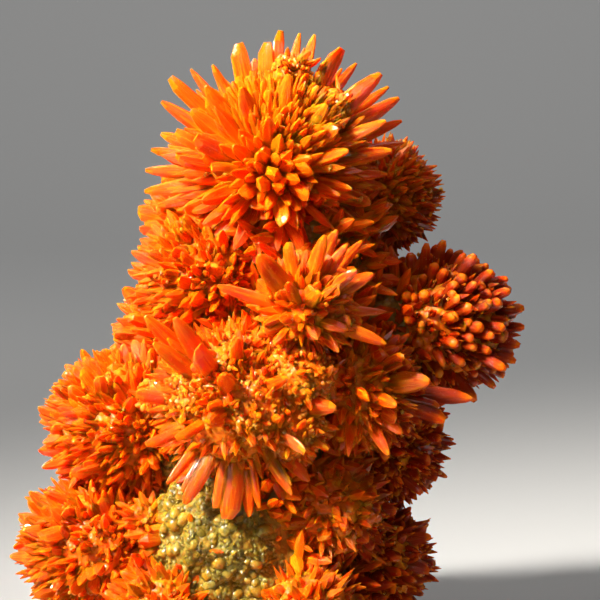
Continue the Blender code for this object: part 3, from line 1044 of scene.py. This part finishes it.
class Finish:
    """A material under construction."""

    def __init__(self, name):
        self.material = bpy.data.materials.new(name)
        self.material.use_nodes = True
        self.tree = self.material.node_tree
        self.shader = self.tree.nodes["Principled BSDF"]

    def add(self, kind, settings=None, inputs=None, output=0):
        """Adds a node, sets it up and returns one of its outputs."""
        node = self.tree.nodes.new(kind)
        for name, value in (settings or {}).items():
            setattr(node, name, value)
        for name, value in (inputs or {}).items():
            self.feed(node.inputs[name], value)
        return Wire(self, node.outputs[output])

    def feed(self, socket, value):
        if isinstance(value, Wire):
            self.tree.links.new(value.socket, socket)
        elif hasattr(value, "__len__") and len(value) == 3 and socket.type == "RGBA":
            socket.default_value = (*value, 1.0)
        else:
            socket.default_value = value

    def mix(self, factor, first, second):
        """One colour turned into another by a factor."""
        return self.add("ShaderNodeMix", {"data_type": "RGBA"}, {0: factor, 6: first, 7: second}, 2)

    def step(self, value, low, high):
        """0 at low and beyond, 1 at high and beyond, and smooth between; high may be the lesser."""
        settings = {"interpolation_type": "SMOOTHSTEP"}
        return self.add("ShaderNodeMapRange", settings, {0: value, 1: low, 2: high, 3: 0.0, 4: 1.0})

    def place(self):
        """Where a point of the piece is, in metres."""
        return self.add("ShaderNodeTexCoord", output="Object")

    def axis(self, vector, number):
        """One of a vector's three numbers."""
        return self.add("ShaderNodeSeparateXYZ", inputs={0: vector}, output=number)

    def grain(self, vector, scale, detail=2.0, roughness=0.5):
        """Cloudy noise from 0 to 1, with about scale waves to each unit of the vector."""
        inputs = {"Vector": vector, "Scale": scale, "Detail": detail, "Roughness": roughness}
        return self.add("ShaderNodeTexNoise", inputs=inputs)

    def bump(self, height, strength, distance):
        """A surface that a height from 0 to 1 raises by a distance, in metres."""
        inputs = {"Strength": strength, "Distance": distance, "Height": height}
        return self.add("ShaderNodeBump", inputs=inputs)

    def attribute(self, name):
        """A number that each crystal carries."""
        return self.add("ShaderNodeAttribute", {"attribute_name": name}, output="Fac")

    def finished(self, **inputs):
        """Sets the shader's own sockets and hands over the material."""
        for name, value in inputs.items():
            self.feed(self.shader.inputs[name.replace("_", " ")], value)
        return self.material


# Colours of the orange crystals, from their feet and their thin edges, lit up by painted light, to their red
# middles
ROOT_AMBER = (1.0, 0.23, 0.003)
EDGE_AMBER = (1.0, 0.25, 0.004)
BODY_ORANGE = (1.0, 0.15, 0.002)
DEEP_ORANGE = (0.94, 0.085, 0.001)
HEART_RED = (0.80, 0.026, 0.001)
# A painted glow, gold as if the light shone through the top ball: its colour, its middle, and how far from
# there it starts to fade and ends
PAINTED_GLOW_GOLD = (1.0, 0.26, 0.003)
PAINTED_GLOW_MIDDLE = Vector((0.4, -5.5, 53.5))
PAINTED_GLOW_REACH = (4.5, 9.0)
# Painted shade, partly also a deeper red of the crystals, towards the lower right: its colour, and where it
# starts and is full, measured to the right at a level
PAINTED_SHADE_RED = (0.26, 0.012, 0.001)
PAINTED_SHADE_START = 7.0
PAINTED_SHADE_END = 17.0
PAINTED_SHADE_LEVEL = 35.0


def orange_calcite():
    """Candied orange crystal: amber at its foot and red in its middle, with painted light along its edges, a
    painted glow in the top ball and painted shade towards the lower right.
    """
    finish = Finish("orange_calcite")
    facet = finish.add("ShaderNodeUVMap", {"uv_map": "facets"})
    across = finish.axis(facet, 0)
    along = finish.axis(facet, 1)
    place = finish.place()
    tone = finish.attribute("tone")
    red = finish.attribute("red")
    middle = 4 * across * (1 - across)
    cloud = finish.grain(place, 420.0, 3.0)
    wisp = finish.grain(place, 1500.0, 3.0)
    # Painted glow: gold inside the top ball, fading outwards and weaker on the red blades' tips; it also
    # lightens the deep orange
    ends = {0: place, 1: PAINTED_GLOW_MIDDLE * MM}
    away = finish.add("ShaderNodeVectorMath", {"operation": "DISTANCE"}, ends, "Value")
    painted_glow = finish.step(away + (cloud - 0.5) * 0.003, PAINTED_GLOW_REACH[1] * MM, PAINTED_GLOW_REACH[0] * MM)
    inner = finish.mix(finish.step(red, 0.4, 0.1) * 0.6, BODY_ORANGE, EDGE_AMBER)
    blade = red * finish.step(along, 0.5, 0.8)
    golden = finish.mix(painted_glow * (0.9 - 0.7 * blade), inner, PAINTED_GLOW_GOLD)
    deep = finish.mix(painted_glow * 0.5, DEEP_ORANGE, EDGE_AMBER)
    body = finish.mix(finish.step(tone * 0.7 + cloud + along * 0.3 - 0.5, 0.15, 0.85), golden, deep)
    # Painted light along the thin edges of each facet, as if light shone through them
    rim = finish.step(middle + (wisp - 0.5) * 0.3, 0.36, 0.0) * 0.55
    edge_lit = finish.mix(rim, body, EDGE_AMBER)
    low = finish.step(along, 0.45, 0.66)
    high = finish.step(along, 0.98, 0.74)
    heart = low * high * finish.step(middle + (wisp - 0.5) * 0.9, 0.25, 1.0) * red
    hearted = finish.mix(heart * 0.7, edge_lit, HEART_RED)
    foot = finish.step(along + (cloud - 0.5) * 0.4, 0.78, 0.28) * 0.75
    footed = finish.mix(foot, hearted, ROOT_AMBER)
    strips = {0: across * 2.6 + tone * 37, 1: along * 0.9, 2: tone * 11}
    stretched = finish.add("ShaderNodeCombineXYZ", inputs=strips)
    striae = finish.grain(stretched, 3.0, 3.0, 0.6)
    streaked = finish.mix(finish.step(striae, 0.52, 0.64) * 0.6, footed, EDGE_AMBER)
    candied = finish.mix(finish.step(striae, 0.48, 0.36) * 0.5, streaked, deep)
    # Painted shade towards the lower right, partly a deeper red of the crystals, kept off the crystals' tips
    # so that they look lit
    x, y, z = (finish.axis(place, number) for number in range(3))
    shade = finish.step(x + 0.3 * y - 0.35 * (z - PAINTED_SHADE_LEVEL * MM), PAINTED_SHADE_START * MM, PAINTED_SHADE_END * MM)
    colour = finish.mix(shade * (0.88 - 0.65 * finish.step(along, 0.80, 0.97)), candied, PAINTED_SHADE_RED)
    skin = finish.grain(place, 2600.0, 2.0)
    relief = finish.bump(striae + wisp * 0.5, 0.8, 0.00018)
    polish = finish.step(tone, 0.86, 0.80)
    rough = 0.08 + 0.10 * polish + 0.14 * finish.step(skin, 0.45, 0.8)
    return finish.finished(
        Base_Color=colour,
        Roughness=rough,
        IOR=1.5,
        Specular_IOR_Level=0.13,
        Subsurface_Weight=0.8,
        Subsurface_Radius=(1.0, 0.30, 0.05),
        Subsurface_Scale=0.0014,
        Transmission_Weight=0.1,
        Coat_Weight=finish.step(tone, 0.60, 0.78) * 0.5,
        Coat_Roughness=0.04,
        Normal=relief,
    )


# Colours of the sugary grains: the two that those on the column vary between, and the two on the balls
GRAIN_OLIVE = (0.34, 0.165, 0.008)
GRAIN_YELLOW = (0.52, 0.295, 0.04)
GRAIN_AMBER = (1.0, 0.18, 0.003)
GRAIN_HONEY = (0.94, 0.32, 0.04)


def pale_grain():
    """Sugary grains: amber to honey on the balls, olive to yellow on the column."""
    finish = Finish("pale_grain")
    tone = finish.attribute("tone")
    pale = finish.attribute("pale")
    on_column = finish.mix(tone, GRAIN_OLIVE, GRAIN_YELLOW)
    on_balls = finish.mix(finish.step(pale, 0.2, 0.6), GRAIN_AMBER, GRAIN_HONEY)
    colour = finish.mix(finish.step(pale, 0.6, 0.8), on_balls, on_column)
    skin = finish.grain(finish.place(), 3000.0, 2.0)
    return finish.finished(
        Base_Color=colour,
        Roughness=0.14 + 0.30 * skin,
        IOR=1.5,
        Specular_IOR_Level=0.28,
        Subsurface_Weight=0.85,
        Subsurface_Radius=(1.0, 0.7, 0.2),
        Subsurface_Scale=0.0016,
        Transmission_Weight=0.1,
        Normal=finish.bump(skin, 0.2, 0.00005),
    )


# Colours of a sugary skin: of the painted shade in the hollows between its grains, and the two of its clouds
SugaryColours = namedtuple("SugaryColours", "hollow low high")
ROCK_COLOURS = SugaryColours((0.16, 0.065, 0.004), (0.32, 0.155, 0.008), (0.50, 0.285, 0.04))
AMBER_COLOURS = SugaryColours((0.75, 0.07, 0.001), (0.98, 0.14, 0.002), (1.0, 0.25, 0.006))


def sugary_skin(name, colours):
    """A mass of tiny grains: two colours in clouds, and painted shade, a darker colour, in the hollows
    between the grains.
    """
    finish = Finish(name)
    place = finish.place()
    cloud = finish.grain(place, 260.0, 4.0)
    cells = finish.add("ShaderNodeTexVoronoi", {"feature": "F1"}, {"Vector": place, "Scale": 1900.0})
    clouded = finish.mix(finish.step(cloud, 0.35, 0.65), colours.low, colours.high)
    # Painted shade in the hollows between the grains
    tinted = finish.mix(finish.step(cells, 0.2, 0.7) * 0.5, clouded, colours.hollow)
    return finish.finished(
        Base_Color=tinted,
        Roughness=0.18 + 0.3 * cloud,
        IOR=1.5,
        Specular_IOR_Level=0.2,
        Subsurface_Weight=0.85,
        Subsurface_Radius=(1.0, 0.5, 0.15),
        Subsurface_Scale=0.0014,
        Normal=finish.bump(1 - cells, 0.8, 0.00025),
    )


FLOOR_GREY = (0.31, 0.305, 0.295)


def floor_finish():
    """The plain pale sheet that the cluster stands on."""
    finish = Finish("pale_floor")
    return finish.finished(Base_Color=FLOOR_GREY, Roughness=0.8)


# The photograph's view: the point it looks at, how far away the camera stands and how high it is
# (radians), how wide the picture is at that point, and the width of its sensor
CAMERA_TARGET = Vector((2.8, 0.0, 35.0))
CAMERA_AWAY = 330.0
CAMERA_RISE = math.radians(6)
FRAME_WIDTH = 60.0
SENSOR = 36.0


def place_camera():
    data = bpy.data.cameras.new("camera")
    data.sensor_width = SENSOR
    data.lens = SENSOR * CAMERA_AWAY / FRAME_WIDTH
    data.clip_start = 0.01
    camera = bpy.data.objects.new("camera", data)
    back = Vector((0, -math.cos(CAMERA_RISE), math.sin(CAMERA_RISE)))
    camera.location = (CAMERA_TARGET + back * CAMERA_AWAY) * MM
    camera.rotation_euler = (-back).to_track_quat("-Z", "Y").to_euler()
    bpy.context.scene.collection.objects.link(camera)
    bpy.context.scene.camera = camera


# Soft lamps: the place each aims at, the way to it from there and its distance, in metres, its width, its
# watts, the cone (degrees) that its light is kept to, so that little of it comes back from the floor, and
# its colour
Lamp = namedtuple("Lamp", "aim way away width watts cone colour")
LAMPS = {
    "key": Lamp((0.0, 0.0, 0.048), (-0.64, -0.44, 0.64), 0.50, 0.10, 0.30, 26, (1.0, 0.97, 0.92)),
    "fill": Lamp((0.0, 0.0, 0.034), (-0.20, -0.94, 0.28), 0.65, 0.30, 0.06, 60, (1.0, 0.96, 0.92)),
    "rim": Lamp((0.0, 0.0, 0.035), (-0.55, 0.72, 0.42), 0.55, 0.25, 0.12, 60, (1.0, 0.97, 0.93)),
    "wall": Lamp((0.0, 0.85, 0.0), (0.0, -0.72, 0.69), 0.90, 0.70, 3.4, 145, (0.97, 0.98, 1.0)),
}
# The faint light from all round
WORLD_COLOUR = (0.92, 0.95, 1.0, 1.0)
WORLD_STRENGTH = 0.02

# The floor, in metres: its width, where it starts to bend up, the bend's radius and steps, and the wall's
# height
FLOOR_WIDTH = 6.0
FLOOR_BACK = 0.45
FLOOR_BEND = 0.35
FLOOR_STEPS = 12
FLOOR_WALL = 2.0


def place_lamps():
    for name, facts in LAMPS.items():
        data = bpy.data.lights.new(name, "AREA")
        data.size = facts.width
        data.energy = facts.watts
        data.spread = math.radians(facts.cone)
        data.color = facts.colour
        lamp = bpy.data.objects.new(name, data)
        way = Vector(facts.way).normalized()
        lamp.location = Vector(facts.aim) + way * facts.away
        lamp.rotation_euler = (-way).to_track_quat("-Z", "Y").to_euler()
        bpy.context.scene.collection.objects.link(lamp)
    world = bpy.data.worlds.new("studio")
    world.use_nodes = True
    background = world.node_tree.nodes["Background"]
    background.inputs["Color"].default_value = WORLD_COLOUR
    background.inputs["Strength"].default_value = WORLD_STRENGTH
    bpy.context.scene.world = world
    bpy.context.scene.view_settings.view_transform = "Standard"


def place_floor():
    """A pale sheet on the table, bent up into a wall well behind the cluster."""
    deselect_all()
    bpy.ops.mesh.primitive_plane_add(size=FLOOR_WIDTH, location=(0, FLOOR_BACK - FLOOR_WIDTH / 2, 0))
    bpy.ops.object.transform_apply(location=True)
    floor = bpy.context.object
    floor.name = "floor"
    bpy.ops.object.mode_set(mode="EDIT")
    bpy.context.tool_settings.mesh_select_mode = (False, True, False)
    select_where(floor.data, "edges", lambda edge: all(vert.co.y > FLOOR_BACK - 0.01 for vert in edge.verts))
    stride = FLOOR_BEND * math.pi / 2 / FLOOR_STEPS
    for step in range(FLOOR_STEPS):
        angle = math.pi / 2 * (step + 0.5) / FLOOR_STEPS
        move = (0, stride * math.cos(angle), stride * math.sin(angle))
        bpy.ops.mesh.extrude_region_move(TRANSFORM_OT_translate={"value": move})
    bpy.ops.mesh.extrude_region_move(TRANSFORM_OT_translate={"value": (0, 0, FLOOR_WALL)})
    bpy.ops.object.mode_set(mode="OBJECT")
    floor.data.shade_smooth()
    floor.data.materials.append(floor_finish())


def main():
    forms = model_forms()
    orange = orange_calcite()
    grain = pale_grain()
    rock = sugary_skin("column_rock", ROCK_COLOURS)
    sugar = sugary_skin("amber_sugar", AMBER_COLOURS)
    for name in SPRAYS:
        grow_spray(name, forms, [orange, grain, sugar])
    grow_column(forms, {"orange": orange, "grain": grain, "rock": rock})
    place_floor()
    place_camera()
    place_lamps()


main()
